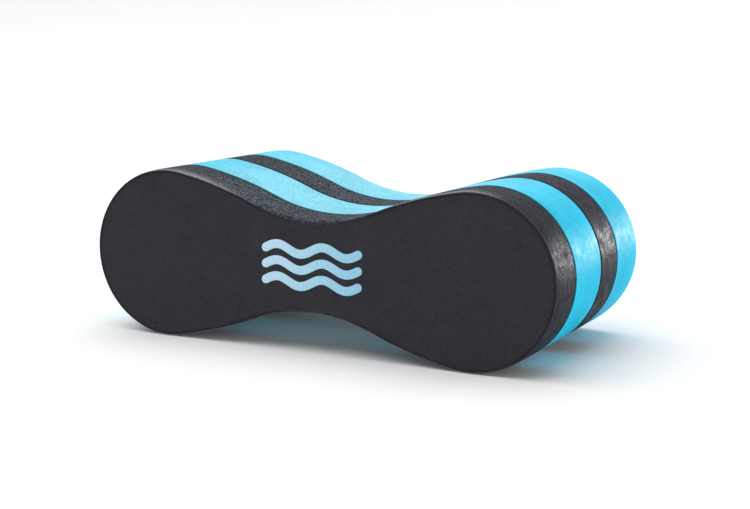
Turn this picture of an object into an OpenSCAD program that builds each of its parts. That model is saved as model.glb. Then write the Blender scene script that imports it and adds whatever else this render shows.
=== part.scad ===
// Pull buoy: a leg float for swim training, gripped between the thighs.
// Four slabs of closed-cell foam are glued face to face and cut to one figure-eight outline.
// X runs along the length, Y through the layers from front to rear, and Z is up. The buoy
// stands on its two lobes, and the origin is on the floor under its middle.

/* [Outline] */
// Length over both lobes
length = 240; // [190:1:300]
// Radius of the round end of each lobe
lobe_r = 40.8; // [33:0.1:50]
// Angle from the tip at which the round end gives way to the shoulder
lobe_arc = 100; // [91:1:110]
// Thickness at the waist, between the two thigh saddles
waist = 44.3; // [30:0.1:60]
// Share of the flank's two radii that the shoulder takes: more means a tighter thigh saddle
shoulder_share = 0.68; // [0.4:0.01:0.8]

/* [Layers] */
// Thickness of the black front slab
front_slab_t = 24.5; // [15:0.1:45]
// Thickness of the blue slab behind it
second_slab_t = 35.7; // [15:0.1:50]
// Thickness of the second black slab
third_slab_t = 24.5; // [15:0.1:45]
// Thickness of the blue rear slab
rear_slab_t = 32.5; // [15:0.1:50]
// Thickness of each layer of glue
glue_t = 0.3; // [0.1:0.05:1]
// How far the glue stays back from the slabs' edges
glue_inset = 0.5; // [0.1:0.1:3]

/* [Printed mark] */
// Number of wave stripes
stripes = 3; // [1:1:3]
// Length of a stripe, between the middles of its round ends
stripe_l = 48; // [30:1:80]
// Width of a stripe
stripe_w = 4.2; // [2:0.1:5.5]
// Distance from one stripe to the next
stripe_pitch = 7.6; // [7:0.1:10]
// Height of a wave, from its middle to its crest
wave_rise = 2; // [0.5:0.1:3]
// Number of whole waves in a stripe
waves = 2; // [1:1:3]
// Depth of the print, which is pressed flush into the front face
mark_t = 0.4; // [0.2:0.05:1]
// Gap between the print and the edge of its recess
mark_gap = 0.05; // [0.02:0.01:0.2]

/* [Quality] */
// Length of each straight step along a curve of the outline
outline_step = 2; // [0.5:0.5:4]
// Steps along each wave of a stripe
wave_steps = 24; // [12:2:48]
// Steps round each end of a stripe
end_steps = 10; // [6:1:24]

/* [Hidden] */
// The round end is centred here, and ends at this point.
lobe_x = length / 2 - lobe_r;
lobe_end = [lobe_x + lobe_r * cos(lobe_arc), lobe_r * sin(lobe_arc)];

// From there a convex shoulder runs down at its steepest into the concave thigh saddle. The two
// arcs are tangent to the round end, to each other, and to the level waist.
drop = lobe_end - [0, waist / 2];
lobe_slope = lobe_arc - 90;
drop_slope = atan2(drop[1], drop[0]);
levelness = (1 - shoulder_share) * cos(drop_slope) + shoulder_share * cos(lobe_slope - drop_slope);
flank_slope = drop_slope + acos(levelness);
flank_radii = drop[0] / (sin(flank_slope) - shoulder_share * sin(lobe_slope));
shoulder_r = shoulder_share * flank_radii;
saddle_r = flank_radii - shoulder_r;
shoulder_centre = lobe_end - shoulder_r * [cos(lobe_arc), sin(lobe_arc)];
saddle_centre = [0, waist / 2 + saddle_r];

// Front face of each layer, counted from the front of the buoy.
front_glue_y = front_slab_t;
second_slab_y = front_glue_y + glue_t;
middle_glue_y = second_slab_y + second_slab_t;
third_slab_y = middle_glue_y + glue_t;
rear_glue_y = third_slab_y + third_slab_t;
rear_slab_y = rear_glue_y + glue_t;
depth = rear_slab_y + rear_slab_t;

black = "#303338";
blue = "#22b4e4";
glue_colour = "#0d4a5e";
print_colour = "#a9d5ea";

// Points along an arc, without its last one.
function arc(centre, r, from, to) =
    let (steps = ceil(r * abs(to - from) * PI / 180 / outline_step))
    [for (i = [0 : steps - 1])
        let (a = from + (to - from) * i / steps)
        centre + r * [cos(a), sin(a)]];

function backwards(points) = [for (i = [len(points) - 1 : -1 : 0]) points[i]];

function flipped(points, x, z) = [for (p = points) [p[0] * x, p[1] * z]];

// The outline's upper right quarter, from the tip to the waist, moved inwards by inset. The round
// end is two arcs, so that a point falls on its very top and the buoy's height is exact.
function quarter(inset) = concat(
    arc([lobe_x, 0], lobe_r - inset, 0, 90),
    arc([lobe_x, 0], lobe_r - inset, 90, lobe_arc),
    arc(shoulder_centre, shoulder_r - inset, lobe_arc, 90 + flank_slope),
    arc(saddle_centre, saddle_r + inset, flank_slope - 90, -90)
);

function upper_half(inset) = concat(
    quarter(inset),
    [[0, waist / 2 - inset]],
    backwards(flipped(quarter(inset), -1, 1))
);

function without_ends(points) = [for (i = [1 : len(points) - 2]) points[i]];

module outline(inset = 0) {
    upper = upper_half(inset);
    polygon(concat(upper, backwards(flipped(without_ends(upper), 1, -1))));
}

// Stands a flat shape up in the XZ plane, with its front at y and the buoy's middle at its centre.
module layer(y, thickness) {
    translate([0, y + thickness - depth / 2, lobe_r])
        rotate([90, 0, 0])
            linear_extrude(thickness) children();
}

module slab(y, thickness) {
    layer(y, thickness) outline();
}

module glue(y) {
    color(glue_colour) layer(y, glue_t) outline(glue_inset);
}

// The middle line of a stripe, from t = 0 at its left end to t = 1 at its right end.
function wave_point(t) = [stripe_l * (t - 0.5), wave_rise * sin(360 * waves * t)];

function wave_slope(t) = atan(wave_rise * 2 * PI * waves / stripe_l * cos(360 * waves * t));

// One edge of a stripe, at half its width to one side of the middle line.
function wave_edge(half_w) =
    let (steps = waves * wave_steps)
    [for (i = [0 : steps])
        let (t = i / steps, across = wave_slope(t) + 90)
        wave_point(t) + half_w * [cos(across), sin(across)]];

// A stripe's round end, between the last points of its two edges.
function wave_end(t, half_w, from) = [
    for (i = [1 : end_steps - 1])
        let (a = wave_slope(t) + from - 180 * i / end_steps)
        wave_point(t) + half_w * [cos(a), sin(a)]];

module stripe(grow = 0) {
    half_w = stripe_w / 2 + grow;
    polygon(concat(
        wave_edge(half_w),
        wave_end(1, half_w, 90),
        backwards(wave_edge(-half_w)),
        wave_end(0, half_w, -90)
    ));
}

module mark_shape(grow = 0) {
    for (i = [0 : stripes - 1])
        translate([0, stripe_pitch * (i - (stripes - 1) / 2)]) stripe(grow);
}

module front_slab() {
    color(black)
        difference() {
            slab(0, front_slab_t);
            layer(-mark_t, 2 * mark_t) mark_shape(mark_gap);
        }
}

module second_slab() {
    color(blue) slab(second_slab_y, second_slab_t);
}

module third_slab() {
    color(black) slab(third_slab_y, third_slab_t);
}

module rear_slab() {
    color(blue) slab(rear_slab_y, rear_slab_t);
}

module front_glue() {
    glue(front_glue_y);
}

module middle_glue() {
    glue(middle_glue_y);
}

module rear_glue() {
    glue(rear_glue_y);
}

module wave_mark() {
    color(print_colour) layer(0, mark_t) mark_shape();
}

front_slab();
front_glue();
second_slab();
middle_glue();
third_slab();
rear_glue();
rear_slab();
wave_mark();
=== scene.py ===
import math

import bpy
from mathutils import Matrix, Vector


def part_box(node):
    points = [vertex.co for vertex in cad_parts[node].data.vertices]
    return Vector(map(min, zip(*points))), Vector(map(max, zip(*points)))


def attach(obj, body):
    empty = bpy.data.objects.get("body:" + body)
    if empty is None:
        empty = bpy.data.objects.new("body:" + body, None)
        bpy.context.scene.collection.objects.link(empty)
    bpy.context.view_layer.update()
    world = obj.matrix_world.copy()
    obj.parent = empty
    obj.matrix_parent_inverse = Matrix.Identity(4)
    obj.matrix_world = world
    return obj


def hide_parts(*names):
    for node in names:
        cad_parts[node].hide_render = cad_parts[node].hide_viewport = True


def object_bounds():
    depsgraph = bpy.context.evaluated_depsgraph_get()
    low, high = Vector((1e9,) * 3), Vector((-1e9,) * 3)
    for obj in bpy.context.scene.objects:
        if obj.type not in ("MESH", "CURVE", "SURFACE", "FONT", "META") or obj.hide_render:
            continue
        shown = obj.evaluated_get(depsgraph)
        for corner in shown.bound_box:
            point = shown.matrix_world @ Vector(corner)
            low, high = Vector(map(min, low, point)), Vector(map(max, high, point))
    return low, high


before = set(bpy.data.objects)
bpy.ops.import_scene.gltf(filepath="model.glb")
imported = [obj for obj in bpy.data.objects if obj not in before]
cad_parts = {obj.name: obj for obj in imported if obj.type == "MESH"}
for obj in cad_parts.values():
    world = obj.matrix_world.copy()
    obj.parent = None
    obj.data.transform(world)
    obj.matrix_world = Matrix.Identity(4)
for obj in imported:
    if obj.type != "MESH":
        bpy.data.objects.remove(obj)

cad_low, cad_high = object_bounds()


# ---------------------------------------------------------------------------------------------
# Studio: white paper that runs flat under the buoy and curves up all round, under a broad silk.
# A low light behind on the right makes the foam shine. Weaker ones stand in front and behind.

MM = 0.001


def plain_paper():
    """Matt white background paper, a touch warmer in some places than in others."""
    material = bpy.data.materials.new("background_paper")
    material.use_nodes = True
    nodes, links = material.node_tree.nodes, material.node_tree.links
    surface = nodes["Principled BSDF"]
    surface.inputs["Roughness"].default_value = 0.9
    surface.inputs["Specular IOR Level"].default_value = 0.1
    place = nodes.new("ShaderNodeTexCoord")
    cloud = nodes.new("ShaderNodeTexNoise")
    cloud.inputs["Scale"].default_value = 3.0
    tint = nodes.new("ShaderNodeValToRGB")
    tint.color_ramp.elements[0].color = (0.90, 0.90, 0.90, 1)
    tint.color_ramp.elements[1].color = (0.93, 0.93, 0.93, 1)
    links.new(place.outputs["Object"], cloud.inputs["Vector"])
    links.new(cloud.outputs["Fac"], tint.inputs["Fac"])
    links.new(tint.outputs["Color"], surface.inputs["Base Color"])
    return material


def paper_cove(flat_radius, bend, height, spokes=96, steps=16):
    """The profile of the paper, from the middle out and then up, turned all the way round."""
    profile = [(flat_radius * share, 0.0) for share in (0.1, 0.4, 1.0)]
    for i in range(1, steps + 1):
        a = 0.5 * math.pi * i / steps
        profile.append((flat_radius + bend * math.sin(a), bend * (1 - math.cos(a))))
    profile.append((flat_radius + bend, height))
    turns = [2 * math.pi * i / spokes for i in range(spokes)]
    points = [(r * math.cos(turn), r * math.sin(turn), z) for r, z in profile for turn in turns]
    faces = [tuple(range(spokes))]
    for ring in range(0, (len(profile) - 1) * spokes, spokes):
        for i in range(spokes):
            after = (i + 1) % spokes
            faces.append((ring + i, ring + i + spokes, ring + after + spokes, ring + after))
    mesh = bpy.data.meshes.new("paper_cove")
    mesh.from_pydata(points, [], faces)
    mesh.polygons.foreach_set("use_smooth", [True] * len(faces))
    mesh.materials.append(plain_paper())
    cove = bpy.data.objects.new("paper_cove", mesh)
    bpy.context.scene.collection.objects.link(cove)
    return cove


paper_cove(flat_radius=5, bend=2, height=2.2)


def softbox(name, place, aim, width, height, power):
    """A white rectangular light at a place, turned towards another."""
    light = bpy.data.lights.new(name, "AREA")
    light.shape = "RECTANGLE"
    light.size, light.size_y = width, height
    light.energy = power
    lamp = bpy.data.objects.new(name, light)
    lamp.location = place
    lamp.rotation_euler = (Vector(aim) - Vector(place)).to_track_quat("-Z", "Y").to_euler()
    bpy.context.scene.collection.objects.link(lamp)


buoy_middle = (cad_low + cad_high) / 2
softbox("side_light", (0.57, 1.36, 0.12), buoy_middle, width=0.40, height=0.22, power=9)
softbox("front_fill", (-1.0, -1.2, 0.10), buoy_middle, width=0.8, height=0.2, power=6)
softbox("back_light", (-0.55, 2.3, 0.95), buoy_middle, width=2.2, height=1.0, power=6)

# The overhead light is a wide silk, so large and far that it lights all the paper alike.
overhead = bpy.data.lights.new("overhead_silk", "SUN")
overhead.energy = 2.4
overhead.angle = math.radians(85)
overhead_lamp = bpy.data.objects.new("overhead_silk", overhead)
overhead_lamp.rotation_euler = Vector((0.30, 0.05, -1.0)).to_track_quat("-Z", "Y").to_euler()
bpy.context.scene.collection.objects.link(overhead_lamp)

world = bpy.data.worlds.new("studio_air")
world.use_nodes = True
world.node_tree.nodes["Background"].inputs["Color"].default_value = (1.0, 1.0, 1.0, 1)
world.node_tree.nodes["Background"].inputs["Strength"].default_value = 0.38
bpy.context.scene.world = world
bpy.context.scene.view_settings.view_transform = "Standard"

# The camera stands to the right of the front, a little above the buoy, held very slightly tilted.
camera_data = bpy.data.cameras.new("camera")
camera_data.sensor_width = 36
camera_data.lens = 71.9
camera = bpy.data.objects.new("camera", camera_data)
camera.location = (0.3262, -0.6575, 0.1607)
camera.rotation_euler = [math.radians(a) for a in (80.54, -0.775, 26.24)]
bpy.context.scene.collection.objects.link(camera)
bpy.context.scene.camera = camera


# ---------------------------------------------------------------------------------------------
# Front slab: black closed-cell foam, 24.5 mm thick. Its face keeps the smooth skin of the sheet;
# its sides were sawn and sanded after the four slabs were glued, and its front edge is rolled
# over. The same tree makes all four slabs and the glue between them.

front_low, front_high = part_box("front_slab")
rear_low, rear_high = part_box("rear_slab")
lobe_radius = (front_high.z - front_low.z) / 2
lobe_x = (front_high.x - front_low.x) / 2 - lobe_radius
lobe_arc = math.radians(100)
waist = 44.3 * MM
shoulder_share = 0.68

# One quarter of the outline is three tangent arcs: the round end, which turns 100 degrees from
# its tip, a convex shoulder and the concave thigh saddle. The shoulder's radius is 0.68 of the
# two flank radii together.
lobe_end = Vector((math.cos(lobe_arc), math.sin(lobe_arc))) * lobe_radius + Vector((lobe_x, 0))
lobe_slope = lobe_arc - math.pi / 2
drop = lobe_end - Vector((0, waist / 2))
drop_slope = math.atan2(drop.y, drop.x)
levelness = (1 - shoulder_share) * math.cos(drop_slope)
levelness += shoulder_share * math.cos(lobe_slope - drop_slope)
flank_slope = drop_slope + math.acos(levelness)
flank_radii = drop.x / (math.sin(flank_slope) - shoulder_share * math.sin(lobe_slope))
shoulder_radius = shoulder_share * flank_radii
saddle_radius = flank_radii - shoulder_radius
shoulder_centre = lobe_end - Vector((math.cos(lobe_arc), math.sin(lobe_arc))) * shoulder_radius
saddle_centre_z = waist / 2 + saddle_radius


class Wire:
    """A number on its way through a node tree, so that a formula can be written as one."""

    def __init__(self, tree, socket):
        self.tree, self.socket = tree, socket

    def math(self, operation, *others):
        node = self.tree.nodes.new("ShaderNodeMath")
        node.operation = operation
        for slot, value in zip(node.inputs, (self, *others)):
            plug(self.tree, value, slot)
        return Wire(self.tree, node.outputs[0])

    def __add__(self, other):
        return self.math("ADD", other)

    def __sub__(self, other):
        return self.math("SUBTRACT", other)

    def __mul__(self, other):
        return self.math("MULTIPLY", other)

    def __truediv__(self, other):
        return self.math("DIVIDE", other)

    def __rsub__(self, other):
        return self * -1 + other

    __radd__ = __add__
    __rmul__ = __mul__

    def below(self, limit):
        return self.math("LESS_THAN", limit)

    def between(self, low, high):
        return self.math("MAXIMUM", low).math("MINIMUM", high)

    def eased(self):
        """From 0 to 1 with a soft start and end."""
        t = self.between(0, 1)
        return t * t * (3 - 2 * t)


def plug(tree, value, slot):
    """Puts a number, a colour, a wire or a socket into a node's input."""
    if isinstance(value, Wire):
        tree.links.new(value.socket, slot)
    elif isinstance(value, bpy.types.NodeSocket):
        tree.links.new(value, slot)
    elif slot.type == "RGBA":
        slot.default_value = (*value, 1)
    else:
        slot.default_value = value


def add_node(tree, kind, settings=None, **inputs):
    """A node with its settings and its inputs, which are named as they are on its face."""
    node = tree.nodes.new(kind)
    for name, value in (settings or {}).items():
        setattr(node, name, value)
    for name, value in inputs.items():
        plug(tree, value, node.inputs[name.replace("_", " ")])
    return node


def pick(test, yes, no):
    """yes where test is 1 and no where it is 0."""
    return test * (yes - no) + no


def new_shape_tree(name, inputs):
    """An empty geometry tree with named inputs, and a wire from each number among them."""
    tree = bpy.data.node_groups.new(name, "GeometryNodeTree")
    tree.interface.new_socket("Geometry", in_out="OUTPUT", socket_type="NodeSocketGeometry")
    for label, (kind, value) in inputs.items():
        socket = tree.interface.new_socket(label, in_out="INPUT", socket_type=kind)
        if value is not None:
            socket.default_value = value
    entry = tree.nodes.new("NodeGroupInput")
    return tree, {label: Wire(tree, entry.outputs[label]) for label in inputs}


# Added before rounding down, so that a whole number stays whole.
FLOOR_GUARD = 0.5 / 1000
NUMBER, COUNT, FINISH = "NodeSocketFloat", "NodeSocketInt", "NodeSocketMaterial"
SLAB_INPUTS = {
    "Front": (NUMBER, 0.0),
    "Rear": (NUMBER, 0.02),
    "Middle height": (NUMBER, lobe_radius),
    "Inset": (NUMBER, 0.0),
    "Front roll": (NUMBER, 0.5 * MM),
    "Rear roll": (NUMBER, 0.5 * MM),
    "Front waist roll": (NUMBER, 0.5 * MM),
    "Rear waist roll": (NUMBER, 0.5 * MM),
    "Front rounding": (NUMBER, 0.0),
    "Rear rounding": (NUMBER, 0.0),
    "Front recess": (NUMBER, 0.0),
    "Rear recess": (NUMBER, 0.0),
    "Unevenness": (NUMBER, 0.0),
    "Points round": (COUNT, 576),
    "Rows across": (COUNT, 70),
    "Seed": (NUMBER, 4.0),
    "Material": (FINISH, None),
}
# Rows of the mesh, from the middle of a face to its edge, then along its rim and over its roll.
FACE_ROWS, RIM_ROWS, ROLL_ROWS = 12, 10, 6
RIM_REACH = 7 * MM
ROUNDING_REACH = 9 * MM
# How strongly the rows close in on the edges, along the rim and across the sawn side.
RIM_CROWDING, SIDE_CROWDING = 1.8, 0.75
# The recess is at its full depth this far along the rim: one part in 2.5 of it.
RECESS_STEEPNESS = 2.5


def outline_point(along, inset):
    """A point of the outline's quarter, at a distance along it from the tip, moved inwards."""
    lobe_length = lobe_radius * lobe_arc
    shoulder_length = shoulder_radius * (math.pi / 2 + flank_slope - lobe_arc)
    on_lobe = along.below(lobe_length)
    on_shoulder = along.below(lobe_length + shoulder_length)
    angle_1 = along / lobe_radius
    angle_2 = (along - lobe_length) / shoulder_radius + lobe_arc
    angle_3 = flank_slope - (along - lobe_length - shoulder_length) / saddle_radius
    across_1, across_2 = lobe_radius - inset, shoulder_radius - inset
    across_3 = inset + saddle_radius
    x = pick(on_shoulder, angle_2.math("COSINE") * across_2 + shoulder_centre.x,
             angle_3.math("SINE") * across_3)
    z = pick(on_shoulder, angle_2.math("SINE") * across_2 + shoulder_centre.y,
             saddle_centre_z - angle_3.math("COSINE") * across_3)
    x = pick(on_lobe, angle_1.math("COSINE") * across_1 + lobe_x, x)
    z = pick(on_lobe, angle_1.math("SINE") * across_1, z)
    return x, z


def slab_tree():
    """A grid whose columns run round the outline and whose rows run over the front face, round
    the front edge, across the sawn side, round the rear edge and over the rear face."""
    tree, given = new_shape_tree("sawn_slab", SLAB_INPUTS)
    round_count, row_count = given["Points round"], given["Rows across"]
    grid = add_node(tree, "GeometryNodeMeshGrid", Vertices_X=round_count + 1, Vertices_Y=row_count)
    index = Wire(tree, tree.nodes.new("GeometryNodeInputIndex").outputs[0])
    column = (index / row_count + FLOOR_GUARD).math("FLOOR")
    row = index - column * row_count

    # The place round the outline, folded into one quarter of it.
    lobe_length = lobe_radius * lobe_arc
    saddle_start = lobe_length + shoulder_radius * (math.pi / 2 + flank_slope - lobe_arc)
    quarter = saddle_start + saddle_radius * flank_slope
    turn = column / round_count
    along = (turn * 4 * quarter).math("PINGPONG", quarter)
    upward = 1 - 2 * (1 - turn.below(0.5))
    rightward = 1 - 2 * (turn - 0.5).math("ABSOLUTE").below(0.25)

    # The place across the slab, counted in rows from whichever face is nearer.
    from_rear = row_count - 1 - row
    near_front = row.below(from_rear)
    rows_in = row.math("MINIMUM", from_rear)
    face_part = (1 - rows_in / FACE_ROWS).between(0, 1)
    rim_part = (1 - (rows_in - FACE_ROWS) / RIM_ROWS).between(0, 1).math("POWER", RIM_CROWDING)
    rolled = ((rows_in - FACE_ROWS - RIM_ROWS) / (ROLL_ROWS - 1)).between(0, 1)
    roll_angle = rolled * (math.pi / 2)

    # The edge is crisp round the lobes, and worn to a wider roll in the saddle, by the thighs.
    in_saddle = ((along - saddle_start) / (quarter - saddle_start)).eased()
    front_roll = given["Front roll"] * (1 - in_saddle) + given["Front waist roll"] * in_saddle
    rear_roll = given["Rear roll"] * (1 - in_saddle) + given["Rear waist roll"] * in_saddle
    roll = pick(near_front, front_roll, rear_roll)
    from_edge = roll * (1 - roll_angle.math("SINE")) + rim_part * RIM_REACH

    # The depth: level over the faces but for a shallow recess inside the rolled rim.
    side_start = FACE_ROWS + RIM_ROWS + ROLL_ROWS - 1
    side_part = ((row - side_start) / (row_count - 1 - 2 * side_start)).between(0, 1)
    crowding = (side_part * (2 * math.pi)).math("SINE") * (SIDE_CROWDING / (2 * math.pi))
    side_part = side_part - crowding
    sunk = (rim_part * RECESS_STEEPNESS).eased()
    roll_depth = 1 - roll_angle.math("COSINE")
    front_y = given["Front"] + front_roll * roll_depth + given["Front recess"] * sunk
    rear_y = given["Rear"] - rear_roll * roll_depth - given["Rear recess"] * sunk
    y = front_y * (1 - side_part) + rear_y * side_part

    # Close to an open face the side leans in a little, where the sander dwelt on the edge.
    lean_in = (1 - (y - given["Front"]) / ROUNDING_REACH).between(0, 1).math("POWER", 2)
    lean_out = (1 - (given["Rear"] - y) / ROUNDING_REACH).between(0, 1).math("POWER", 2)
    rounding = lean_in * given["Front rounding"] + lean_out * given["Rear rounding"]
    inset = from_edge + rounding + given["Inset"]

    # The sander leaves the sides a little uneven, in broad soft waves and in fine steps.
    broad_scale, fine_along, fine_across = 38.0, 90, 420
    true_x, true_z = outline_point(along, given["Inset"])
    spot = add_node(tree, "ShaderNodeCombineXYZ", X=true_x * rightward, Y=y, Z=true_z * upward)
    broad = add_node(tree, "ShaderNodeTexNoise", {"noise_dimensions": "4D"}, W=given["Seed"],
                     Vector=spot.outputs[0], Scale=broad_scale, Detail=1.0)
    stretched = add_node(tree, "ShaderNodeCombineXYZ", X=true_x * rightward * fine_along,
                         Y=y * fine_across, Z=true_z * upward * fine_along)
    fine = add_node(tree, "ShaderNodeTexNoise", {"noise_dimensions": "4D"}, W=given["Seed"],
                    Vector=stretched.outputs[0], Scale=1.0, Detail=2.0)
    waviness = Wire(tree, broad.outputs[0]) * 0.75 + Wire(tree, fine.outputs[0]) * 0.25
    inset = inset + waviness * given["Unevenness"] * rolled

    # Over the faces the rows close in on the line between the two lobes' centres.
    edge_x, edge_z = outline_point(along, inset)
    spine_x = edge_x.math("MINIMUM", lobe_x)
    x = (edge_x * (1 - face_part) + spine_x * face_part) * rightward
    z = edge_z * (1 - face_part) * upward + given["Middle height"]
    place = add_node(tree, "ShaderNodeCombineXYZ", X=x, Y=y, Z=z)
    shaped = add_node(tree, "GeometryNodeSetPosition", Geometry=grid.outputs["Mesh"],
                      Position=place.outputs[0])

    # The finish needs to know where the foam is sawn, how far inside the edge a place on the
    # face is, and where the round lobes are, which the sander's belt polished most. The same
    # measure places the painted sheen in the saddle and the painted highlights on the shoulders.
    marked = shaped.outputs[0]
    polish_end = lobe_length * 0.2
    lobe_polish_vs_sheen = 1 - ((along - polish_end) / (saddle_start - polish_end)).eased()
    for name, value in (("sawn", rolled), ("from_edge", from_edge), ("lobe_polish_vs_sheen", lobe_polish_vs_sheen)):
        store = add_node(tree, "GeometryNodeStoreNamedAttribute", {"data_type": "FLOAT"},
                         Geometry=marked, Name=name, Value=value)
        marked = store.outputs[0]
    closed = add_node(tree, "GeometryNodeMergeByDistance", Geometry=marked, Distance=0.01 * MM)
    outward = add_node(tree, "GeometryNodeFlipFaces", Mesh=closed.outputs[0])
    smooth = add_node(tree, "GeometryNodeSetShadeSmooth", Geometry=outward.outputs[0])
    real = add_node(tree, "GeometryNodeRealizeInstances", Geometry=smooth.outputs[0])
    dressed = add_node(tree, "GeometryNodeSetMaterial", Geometry=real.outputs[0],
                       Material=given["Material"])
    leave = tree.nodes.new("NodeGroupOutput")
    tree.links.new(dressed.outputs[0], leave.inputs[0])
    return tree


def made_by(tree, name, **values):
    """Runs a geometry tree and returns its result as a plain mesh object at the origin."""
    maker = bpy.data.objects.new(name + "_maker", bpy.data.meshes.new(name + "_maker"))
    bpy.context.scene.collection.objects.link(maker)
    modifier = maker.modifiers.new("shape", "NODES")
    modifier.node_group = tree
    identifiers = {item.name: item.identifier for item in tree.interface.items_tree
                   if item.in_out == "INPUT"}
    for label, value in values.items():
        modifier[identifiers[label.replace("_", " ")]] = value
    bpy.context.view_layer.update()
    evaluated = maker.evaluated_get(bpy.context.evaluated_depsgraph_get())
    mesh = bpy.data.meshes.new_from_object(evaluated)
    mesh.name = name
    piece = bpy.data.objects.new(name, mesh)
    bpy.context.scene.collection.objects.link(piece)
    bpy.data.objects.remove(maker)
    return piece


def foam(name, skin, sawn, lobe_sawn, wear_and_highlight, gloss, grain, relief, tones, scratches,
         edge_shade, seam_shade_reach):
    """Closed-cell foam: a smooth skin on the faces of the sheet, and open cut cells, speckled, on
    the sawn sides, where sanding leaves streaks that follow the outline. In the saddle the sawn
    colour is paler than on the lobes: painted sheen of light grazing the flanks."""
    material = bpy.data.materials.new(name)
    material.use_nodes = True
    tree = material.node_tree
    surface = tree.nodes["Principled BSDF"]
    place = add_node(tree, "ShaderNodeTexCoord").outputs["Object"]

    def noise(scale, detail=3.0, roughness=0.55, vector=place, output=0):
        node = add_node(tree, "ShaderNodeTexNoise", Vector=vector, Scale=scale, Detail=detail,
                        Roughness=roughness)
        return Wire(tree, node.outputs[output])

    def attribute(label):
        node = add_node(tree, "ShaderNodeAttribute", {"attribute_name": label})
        return Wire(tree, node.outputs["Fac"])

    def scaled(rgb, amount):
        """A colour, or a wire that carries one, times a number."""
        node = add_node(tree, "ShaderNodeVectorMath", {"operation": "SCALE"})
        plug(tree, rgb, node.inputs[0])
        plug(tree, amount, node.inputs["Scale"])
        return Wire(tree, node.outputs[0])

    def mixed(amount, one, other):
        """one where the amount is 0, other where it is 1."""
        node = add_node(tree, "ShaderNodeMix", {"data_type": "RGBA"})
        plug(tree, amount, node.inputs[0])
        plug(tree, one, node.inputs[6])
        plug(tree, other, node.inputs[7])
        return Wire(tree, node.outputs[2])

    is_sawn, from_edge, lobe_polish_vs_sheen = attribute("sawn"), attribute("from_edge"), attribute("lobe_polish_vs_sheen")

    # Cells of many sizes, soft clouds, and streaks along the outline with a deep one here and
    # there where a grain of grit caught. The deep scratches are painted dark: painted shade inside
    # them.
    long_cells = add_node(tree, "ShaderNodeMapping", Vector=place, Scale=(1050, 700, 1050))
    speck = noise(1.0, 3.0, 0.7, long_cells.outputs[0])
    mottle = noise(210.0, 3.0, 0.6)
    cloud = noise(40.0, 2.0)
    stretch = add_node(tree, "ShaderNodeMapping", Vector=place, Scale=(330, 900, 330))
    streak = noise(1.0, 3.0, 0.6, stretch.outputs[0])
    scratch_and_shade = (noise(0.35, 1.0, 0.5, stretch.outputs[0]) - 0.70).between(0, 1) * scratches

    # Beside each seam the foam is painted dark teal: painted shade of the groove between two slabs.
    seam_shade_fade = 0.6 * MM
    parts = add_node(tree, "ShaderNodeSeparateXYZ", Vector=place)
    across = Wire(tree, parts.outputs["Y"])
    further_than_any_seam = 1.0
    gap = further_than_any_seam
    for seam in seams:
        gap = (across - seam).math("ABSOLUTE").math("MINIMUM", gap)
    gap = gap + (speck - 0.5) * 0.5 * MM
    seam_shade = 1 - ((gap - seam_shade_reach) / seam_shade_fade).eased()

    # The open edges are paler: a thin line on the edge, partly rub wear and partly a painted
    # glint, strongest off the tips of the lobes, and beside it at their tops a soft band of painted
    # highlight.
    line_start, line_fade = 0.7 * MM, 0.9 * MM
    highlight_start, highlight_reach = 0.5 * MM, 10 * MM
    open_edge = (across - front_low.y).math("ABSOLUTE")
    open_edge = open_edge.math("MINIMUM", (across - rear_high.y).math("ABSOLUTE"))
    rubbed_edge_and_glint = (1 - ((open_edge - line_start) / line_fade).eased()) * (lobe_polish_vs_sheen * 14).between(0, 1)
    rubbed_edge_and_glint = rubbed_edge_and_glint * ((1 - lobe_polish_vs_sheen) * 1.7 - 0.45).between(0.12, 1)
    on_shoulder = (lobe_polish_vs_sheen * 5).between(0, 1) * ((1 - lobe_polish_vs_sheen) * 3.0 - 0.8).between(0, 1)
    highlight_band = (1 - (open_edge - highlight_start) / highlight_reach).between(0, 1).math("POWER", 2)
    highlight_band = highlight_band * on_shoulder

    skin_light = 1.0 + (speck - 0.5) * 1.1 + (mottle - 0.5) * 0.25 + (cloud - 0.5) * 0.2
    coarse = grain * (1 - lobe_polish_vs_sheen * 0.5)
    sawn_light = 1.0 + (speck - 0.5) * coarse + (mottle - 0.5) * coarse * 0.25
    sawn_light = sawn_light + (cloud - 0.5) * 0.5 + (streak - 0.5) * lobe_polish_vs_sheen * 0.3
    # Deep scratches are darkened: painted shade in the gouges.
    sawn_light = sawn_light.math("MAXIMUM", 0.15) * (1 - scratch_and_shade.between(0, 0.8))
    tone = mixed(tones, (0.5, 0.5, 0.5), noise(600.0, 3.0, 0.7, place, 1))
    toned = add_node(tree, "ShaderNodeVectorMath", {"operation": "MULTIPLY"})
    plug(tree, scaled(tone, 2.0), toned.inputs[0])
    # The sawn colour is paler in the saddle and deeper on the lobes. The saddle's paleness is painted
    # sheen of light grazing the flanks.
    plug(tree, mixed(lobe_polish_vs_sheen, sawn, lobe_sawn), toned.inputs[1])
    sawn_rgb = scaled(toned.outputs[0], sawn_light)
    # Pale edge line, partly rub wear and partly painted glint, and a band of painted highlight.
    sawn_rgb = mixed((rubbed_edge_and_glint + highlight_band * 1.15).between(0, 1) * speck * 1.8, sawn_rgb, wear_and_highlight)
    # Painted shade of the seam grooves, dark teal, beside each seam.
    sawn_rgb = mixed(seam_shade * 0.93, sawn_rgb, seam_shade_colour)

    # On the face a thin line of painted shade runs just inside the edge.
    shade_middle, shade_fade = 1.0 * MM, 1.2 * MM
    edge_shade_line = 1 - ((from_edge - shade_middle).math("ABSOLUTE") / shade_fade).eased()
    skin_rgb = scaled(skin, skin_light * (1 - edge_shade_line * edge_shade))
    colour = mixed(is_sawn, skin_rgb, sawn_rgb)
    plug(tree, colour, surface.inputs["Base Color"])

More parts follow.
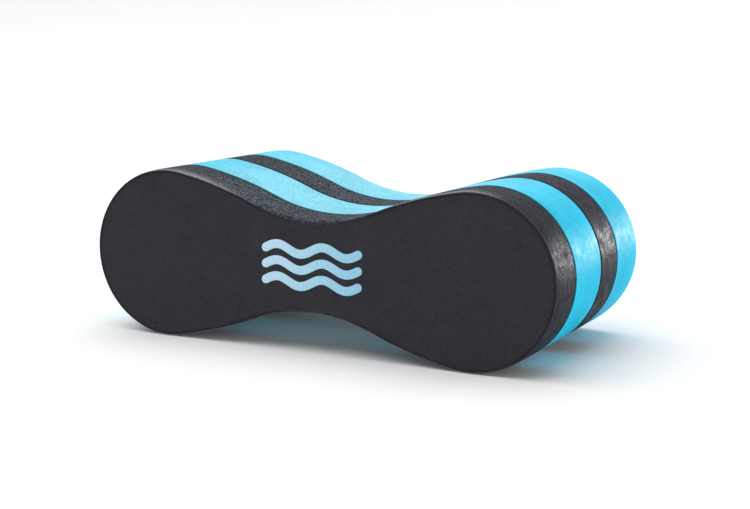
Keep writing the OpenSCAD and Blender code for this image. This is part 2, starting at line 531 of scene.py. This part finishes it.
    uneven = ((mottle - 0.5) * 0.7 + (streak - 0.5) * 0.25 + (speck - 0.5) * 0.4) * relief
    matt = 0.80 - lobe_polish_vs_sheen * is_sawn * 0.35 + uneven * is_sawn + (speck - 0.5) * 0.15
    matt = matt - rubbed_edge_and_glint * is_sawn * 0.15 + seam_shade * is_sawn * 0.3
    plug(tree, matt.between(0.28, 0.95), surface.inputs["Roughness"])
    surface.inputs["Specular IOR Level"].default_value = gloss

    # Relief in metres: dimples and pits of the cut cells, sanding streaks, grain of the skin.
    sawn_relief = (speck - 0.5) * 0.12 * MM + (mottle - 0.5) * 0.35 * MM
    sawn_relief = (sawn_relief + (streak - 0.5) * 0.03 * MM) * relief - scratch_and_shade * 0.06 * MM
    skin_relief = (speck - 0.5) * 0.04 * MM
    bump = add_node(tree, "ShaderNodeBump", Height=pick(is_sawn, sawn_relief, skin_relief))
    bump.inputs["Distance"].default_value = 1.0
    tree.links.new(bump.outputs[0], surface.inputs["Normal"])
    return material


sawn_slab = slab_tree()
seams = [sum(corner.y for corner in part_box(name)) / 2
         for name in ("front_glue", "middle_glue", "rear_glue")]
# Colour of the painted shade beside the seams.
seam_shade_colour = (0.002, 0.012, 0.018)
face_recess = 0.25 * MM
face_rounding = 0.3 * MM
# Black foam: its sawn colour is the saddle's, paler with painted sheen, and the lobe colour is deeper.
# Its pale edge colour paints rub wear and a highlight.
black_foam = foam("black_foam", skin=(0.028, 0.028, 0.034), sawn=(0.065, 0.074, 0.088),
                  lobe_sawn=(0.014, 0.015, 0.023), wear_and_highlight=(0.27, 0.27, 0.29), gloss=0.024,
                  grain=7.2, relief=1.0, tones=0.9, scratches=7, edge_shade=0.35,
                  seam_shade_reach=1.0 * MM)
sanding = 0.25 * MM
seam_roll = 0.55 * MM
edge_roll = 0.6 * MM
waist_roll = 2.2 * MM

front_slab = made_by(sawn_slab, "black_front_slab", Front=front_low.y, Rear=front_high.y,
                     Front_roll=edge_roll, Front_waist_roll=waist_roll, Rear_roll=seam_roll,
                     Rear_waist_roll=seam_roll, Front_rounding=face_rounding, Front_recess=face_recess,
                     Unevenness=sanding, Rows_across=88, Material=black_foam)
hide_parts("front_slab")
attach(front_slab, "root")


# ---------------------------------------------------------------------------------------------
# Second slab: blue foam, the thickest layer. It is glued between the two black ones and sawn
# with them, so that its side follows theirs.

# Blue foam: its sawn colour is the saddle's, paler with painted sheen, and the lobe colour is deeper.
# Its pale edge colour paints rub wear and a highlight.
blue_foam = foam("blue_foam", skin=(0.020, 0.38, 0.58), sawn=(0.25, 0.65, 0.79),
                 lobe_sawn=(0.003, 0.54, 0.80), wear_and_highlight=(0.12, 0.66, 0.86), gloss=0.025,
                 grain=1.0, relief=0.65, tones=0.3, scratches=0.6, edge_shade=0.15,
                 seam_shade_reach=0.45 * MM)
second_low, second_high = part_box("second_slab")
second_slab = made_by(sawn_slab, "blue_second_slab", Front=second_low.y, Rear=second_high.y,
                      Front_roll=seam_roll, Rear_roll=seam_roll, Front_waist_roll=seam_roll,
                      Rear_waist_roll=seam_roll, Unevenness=sanding, Rows_across=96,
                      Material=blue_foam)
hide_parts("second_slab")
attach(second_slab, "root")


# ---------------------------------------------------------------------------------------------
# Third slab: black foam again, cut from the same sheet as the front slab.

third_low, third_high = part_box("third_slab")
third_slab = made_by(sawn_slab, "black_third_slab", Front=third_low.y, Rear=third_high.y,
                     Front_roll=seam_roll, Rear_roll=seam_roll, Front_waist_roll=seam_roll,
                     Rear_waist_roll=seam_roll, Unevenness=sanding, Rows_across=88,
                     Material=black_foam)
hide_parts("third_slab")
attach(third_slab, "root")


# ---------------------------------------------------------------------------------------------
# Rear slab: blue foam, the back of the buoy. Its rear face keeps its skin and has the same
# rolled edge as the front.

rear_slab = made_by(sawn_slab, "blue_rear_slab", Front=rear_low.y, Rear=rear_high.y,
                    Front_roll=seam_roll, Front_waist_roll=seam_roll, Rear_roll=edge_roll,
                    Rear_waist_roll=waist_roll, Rear_rounding=face_rounding, Rear_recess=face_recess,
                    Unevenness=sanding, Rows_across=94, Material=blue_foam)
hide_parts("rear_slab")
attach(rear_slab, "root")


# ---------------------------------------------------------------------------------------------
# Glue lines: three thin films of contact glue, dark teal where they show at the bottom of the
# groove between two slabs.

glue_finish = bpy.data.materials.new("contact_glue")
glue_finish.use_nodes = True
glue_nodes = glue_finish.node_tree
glue_surface = glue_nodes.nodes["Principled BSDF"]
glue_place = add_node(glue_nodes, "ShaderNodeTexCoord").outputs["Object"]
glue_noise = add_node(glue_nodes, "ShaderNodeTexNoise", Vector=glue_place, Scale=900.0)
glue_tint = add_node(glue_nodes, "ShaderNodeValToRGB", Fac=glue_noise.outputs[0])
glue_tint.color_ramp.elements[0].color = (0.002, 0.022, 0.036, 1)
glue_tint.color_ramp.elements[1].color = (0.006, 0.060, 0.090, 1)
glue_nodes.links.new(glue_tint.outputs["Color"], glue_surface.inputs["Base Color"])
glue_bump = add_node(glue_nodes, "ShaderNodeBump", Height=glue_noise.outputs[0], Distance=0.05 * MM)
glue_nodes.links.new(glue_bump.outputs[0], glue_surface.inputs["Normal"])
glue_surface.inputs["Roughness"].default_value = 0.45
film_roll = 0.05 * MM

for node_name in ("front_glue", "middle_glue", "rear_glue"):
    glue_low, glue_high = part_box(node_name)
    film = made_by(sawn_slab, node_name + "_film", Front=glue_low.y, Rear=glue_high.y,
                   Inset=lobe_x + lobe_radius - glue_high.x, Front_roll=film_roll,
                   Rear_roll=film_roll, Front_waist_roll=film_roll, Rear_waist_roll=film_roll,
                   Rows_across=58, Points_round=360, Material=glue_finish)
    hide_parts(node_name)
    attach(film, "root")


# ---------------------------------------------------------------------------------------------
# Printed mark: three wave stripes of pale blue ink, pad-printed on the front face. The ink lies
# on the skin, takes a little of its grain, and is thinner towards the right.

mark_low, mark_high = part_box("wave_mark")
STRIPE_INPUTS = {
    "Length": (NUMBER, 48 * MM),
    "Half width": (NUMBER, 2.1 * MM),
    "Rise": (NUMBER, 2.0 * MM),
    "Waves": (NUMBER, 2.0),
    "Pitch": (NUMBER, 7.6 * MM),
    "Stripes": (COUNT, 3),
    "Thickness": (NUMBER, 0.15 * MM),
    "Depth": (NUMBER, 0.0),
    "Middle height": (NUMBER, lobe_radius),
    "Points along": (COUNT, 160),
    "Material": (FINISH, None),
}
ROUND_POINTS = 24


def stripe_tree():
    """A flat bead of ink, laid along a wave and narrowed to a round end, once for each stripe."""
    tree, given = new_shape_tree("ink_stripes", STRIPE_INPUTS)
    count = given["Points along"]
    grid = add_node(tree, "GeometryNodeMeshGrid", Vertices_X=count, Vertices_Y=ROUND_POINTS + 1)
    index = Wire(tree, tree.nodes.new("GeometryNodeInputIndex").outputs[0])
    column = (index / (ROUND_POINTS + 1) + FLOOR_GUARD).math("FLOOR")
    about = (index - column * (ROUND_POINTS + 1)) * (2 * math.pi / ROUND_POINTS)

    # Columns crowd towards the two ends, so that the round ends are smooth.
    half_length = given["Length"] / 2 + given["Half width"]
    swing = column / (count - 1) * math.pi
    along = swing.math("COSINE") * half_length * -1
    past_end = ((along.math("ABSOLUTE") - given["Length"] / 2) / given["Half width"]).between(0, 1)
    width = given["Half width"] * (1 - past_end * past_end).math("MAXIMUM", 0).math("SQRT")
    phase = (along / given["Length"] + 0.5) * given["Waves"] * (2 * math.pi)
    height = phase.math("SINE") * given["Rise"]
    steepness = given["Rise"] * given["Waves"] / given["Length"] * (2 * math.pi)
    lean = (phase.math("COSINE") * steepness).math("ARCTANGENT")

    # Round the bead: a flattened oval, so that the film has a soft edge and a level top.
    flatness = 0.4
    across = about.math("COSINE") * width
    lift = about.math("SINE")
    lift = lift.math("SIGN") * lift.math("ABSOLUTE").math("POWER", flatness) * given["Thickness"]
    thinning = (width / given["Half width"]).math("POWER", 0.5)
    x = along - lean.math("SINE") * across
    z = height + lean.math("COSINE") * across
    y = given["Depth"] - lift * thinning
    place = add_node(tree, "ShaderNodeCombineXYZ", X=x, Y=y, Z=z)
    shaped = add_node(tree, "GeometryNodeSetPosition", Geometry=grid.outputs["Mesh"],
                      Position=place.outputs[0])
    closed = add_node(tree, "GeometryNodeMergeByDistance", Geometry=shaped.outputs[0],
                      Distance=0.005 * MM)
    outward = add_node(tree, "GeometryNodeFlipFaces", Mesh=closed.outputs[0])

    step = add_node(tree, "ShaderNodeCombineXYZ", Z=given["Pitch"])
    first = given["Middle height"] - given["Pitch"] * (given["Stripes"] - 1) / 2
    start = add_node(tree, "ShaderNodeCombineXYZ", Z=first)
    line = add_node(tree, "GeometryNodeMeshLine", Count=given["Stripes"],
                    Start_Location=start.outputs[0], Offset=step.outputs[0])
    copies = add_node(tree, "GeometryNodeInstanceOnPoints", Points=line.outputs[0],
                      Instance=outward.outputs[0])
    real = add_node(tree, "GeometryNodeRealizeInstances", Geometry=copies.outputs[0])
    smooth = add_node(tree, "GeometryNodeSetShadeSmooth", Geometry=real.outputs[0])
    dressed = add_node(tree, "GeometryNodeSetMaterial", Geometry=smooth.outputs[0],
                       Material=given["Material"])
    leave = tree.nodes.new("NodeGroupOutput")
    tree.links.new(dressed.outputs[0], leave.inputs[0])
    return tree


def ink():
    """Pale blue ink with a fine grain, which lets a little more of the black through towards +X."""
    material = bpy.data.materials.new("pale_blue_ink")
    material.use_nodes = True
    tree = material.node_tree
    surface = tree.nodes["Principled BSDF"]
    place = add_node(tree, "ShaderNodeTexCoord").outputs["Object"]
    grain = add_node(tree, "ShaderNodeTexNoise", Vector=place, Scale=1500.0, Detail=3.0)
    parts = add_node(tree, "ShaderNodeSeparateXYZ", Vector=place)
    fade = Wire(tree, parts.outputs["X"]) / (mark_high.x - mark_low.x) * 0.6
    tint = add_node(tree, "ShaderNodeValToRGB", Fac=Wire(tree, grain.outputs[0]) - fade)
    tint.color_ramp.elements[0].position = 0.2
    tint.color_ramp.elements[1].position = 0.8
    tint.color_ramp.elements[0].color = (0.20, 0.47, 0.64, 1)
    tint.color_ramp.elements[1].color = (0.39, 0.59, 0.71, 1)
    tree.links.new(tint.outputs["Color"], surface.inputs["Base Color"])
    bump = add_node(tree, "ShaderNodeBump", Height=grain.outputs[0], Distance=0.03 * MM)
    tree.links.new(bump.outputs[0], surface.inputs["Normal"])
    surface.inputs["Roughness"].default_value = 0.5
    return material


face_y = front_low.y + face_recess
mark = made_by(stripe_tree(), "printed_wave_mark", Depth=face_y, Material=ink())
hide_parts("wave_mark")
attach(mark, "root")
